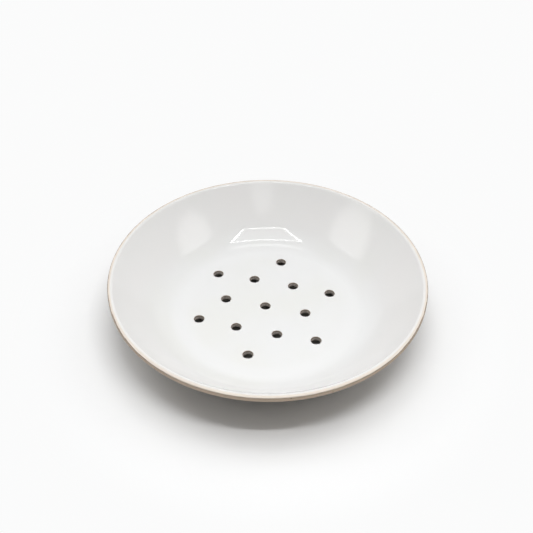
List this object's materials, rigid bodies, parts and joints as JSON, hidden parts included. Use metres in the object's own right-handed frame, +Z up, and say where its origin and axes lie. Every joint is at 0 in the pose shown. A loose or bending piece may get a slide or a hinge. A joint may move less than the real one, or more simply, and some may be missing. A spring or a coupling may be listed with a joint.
{
  "type": "berry dish",
  "caption": "Shallow round stoneware berry dish with a drained flat floor, white glaze inside and over the lip, bare clay outside and a low foot ring.",
  "frame": {"origin": "on the dish's axis, in the plane of the foot ring's underside", "axes": "+Z up out of the dish along its axis, +X to the right and +Y to the back as the picture shows it"},
  "size_m": [0.2, 0.2, 0.0392],
  "materials": {
    "clay": "bare fired grey-buff stoneware, matte",
    "glaze": "white gloss glaze"
  },
  "bodies": {
    "root": {"clay_shell": "clay", "foot_ring": "clay", "inner_glaze": "glaze"}
  },
  "joints": []
}
